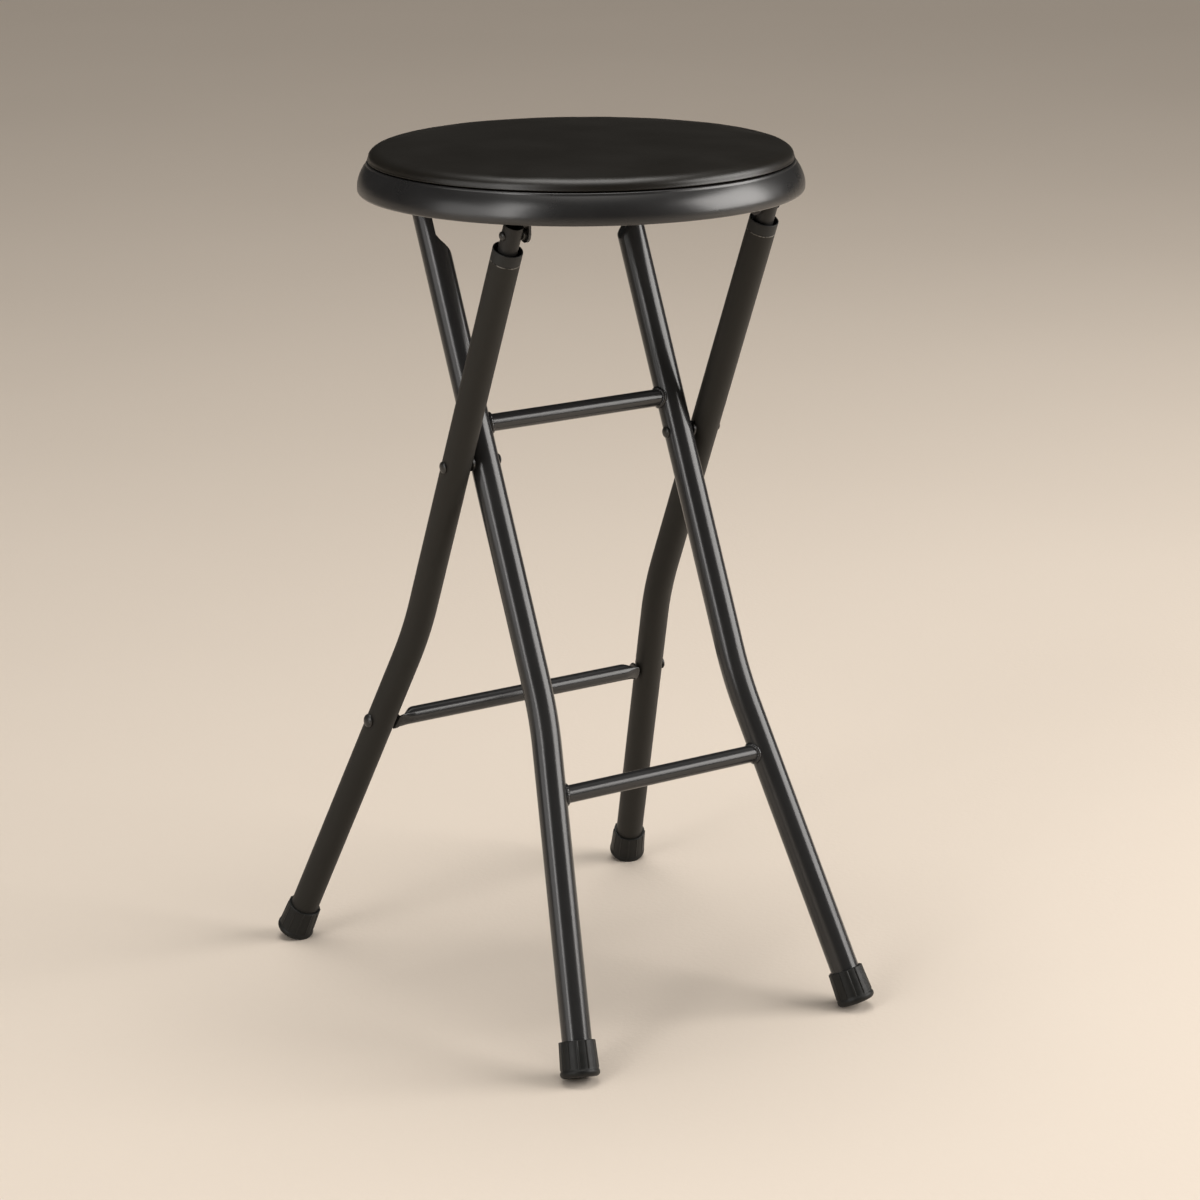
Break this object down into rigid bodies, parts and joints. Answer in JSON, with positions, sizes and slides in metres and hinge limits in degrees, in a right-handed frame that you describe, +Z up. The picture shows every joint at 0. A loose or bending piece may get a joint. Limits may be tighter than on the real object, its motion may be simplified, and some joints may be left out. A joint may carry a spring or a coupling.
{
  "type": "folding stool",
  "caption": "Round padded folding stool with crossed splayed tube legs, crossbars, telescoping seat tubes, a sheet-metal seat pan and rubber feet.",
  "frame": {"origin": "on the floor, at the middle of the box round the open stool, under the middle of the seat", "axes": "+Z up, +X to the stool's right along the fold pivot, -Y to the front, where the inner frame's feet stand"},
  "size_m": [0.328, 0.3708, 0.6114],
  "materials": {
    "vinyl": "smooth black vinyl over a padded cushion",
    "pan_paint": "satin black powder coat on pressed sheet",
    "matte_frame_paint": "matte black powder coat",
    "satin_frame_paint": "satin black powder coat",
    "slide_paint": "semi-matte black paint on sliding tube",
    "collar_plastic": "matte black moulded plastic",
    "rubber": "matte black moulded rubber",
    "rivet": "black painted steel, worn brighter on top",
    "screw": "zinc plated",
    "board": "plain hardboard"
  },
  "bodies": {
    "inner_frame": {"inner_leg_left": "satin_frame_paint", "inner_leg_right": "satin_frame_paint", "upper_crossbar": "satin_frame_paint", "front_footrest": "satin_frame_paint", "foot_front_left": "rubber", "foot_front_right": "rubber", "pivot_rivet_left": "rivet", "pivot_rivet_right": "rivet", "pivot_spacer_left": "rivet", "pivot_spacer_right": "rivet", "rear_hinge_rivet_left": "rivet", "rear_hinge_rivet_right": "rivet"},
    "outer_frame": {"outer_leg_left": "matte_frame_paint", "outer_leg_right": "matte_frame_paint", "collar_left": "collar_plastic", "collar_right": "collar_plastic", "rear_crossbar": "satin_frame_paint", "crossbar_rivet_left": "rivet", "crossbar_rivet_right": "rivet", "foot_rear_left": "rubber", "foot_rear_right": "rubber"},
    "seat": {"seat_pan": "pan_paint", "pad_board": "board", "seat_pad": "vinyl", "front_bracket_left": "pan_paint", "front_bracket_right": "pan_paint", "rear_bracket_left": "pan_paint", "rear_bracket_right": "pan_paint", "seat_screw_front_left_1": "screw", "seat_screw_front_left_2": "screw", "seat_screw_front_right_1": "screw", "seat_screw_front_right_2": "screw", "seat_screw_rear_left_1": "screw", "seat_screw_rear_left_2": "screw", "seat_screw_rear_right_1": "screw", "seat_screw_rear_right_2": "screw", "front_hinge_rivet_left": "rivet", "front_hinge_rivet_right": "rivet", "front_hinge_spacer_left": "rivet", "front_hinge_spacer_right": "rivet"},
    "slide_tubes": {"slide_tube_left": "slide_paint", "slide_tube_right": "slide_paint"}
  },
  "joints": [
    {"name": "fold", "type": "hinge", "parent": "inner_frame", "child": "outer_frame", "pos_m": [0, 0, 0.3948], "axis": [-1, 0, 0], "range_deg": [0, 40]},
    {"name": "seat_tilt", "type": "hinge", "parent": "inner_frame", "child": "seat", "pos_m": [0, 0.07229, 0.5498], "axis": [-1, 0, 0], "range_deg": [0, 90.1]},
    {"name": "tube_swing", "type": "hinge", "parent": "seat", "child": "slide_tubes", "pos_m": [0, -0.07647, 0.56655], "axis": [1, 0, 0], "range_deg": [0, 50.1]}
  ],
  "couplings": [
    {"joint": "seat_tilt", "follows": "fold", "ratio": 2.252},
    {"joint": "tube_swing", "follows": "fold", "ratio": 1.252}
  ]
}
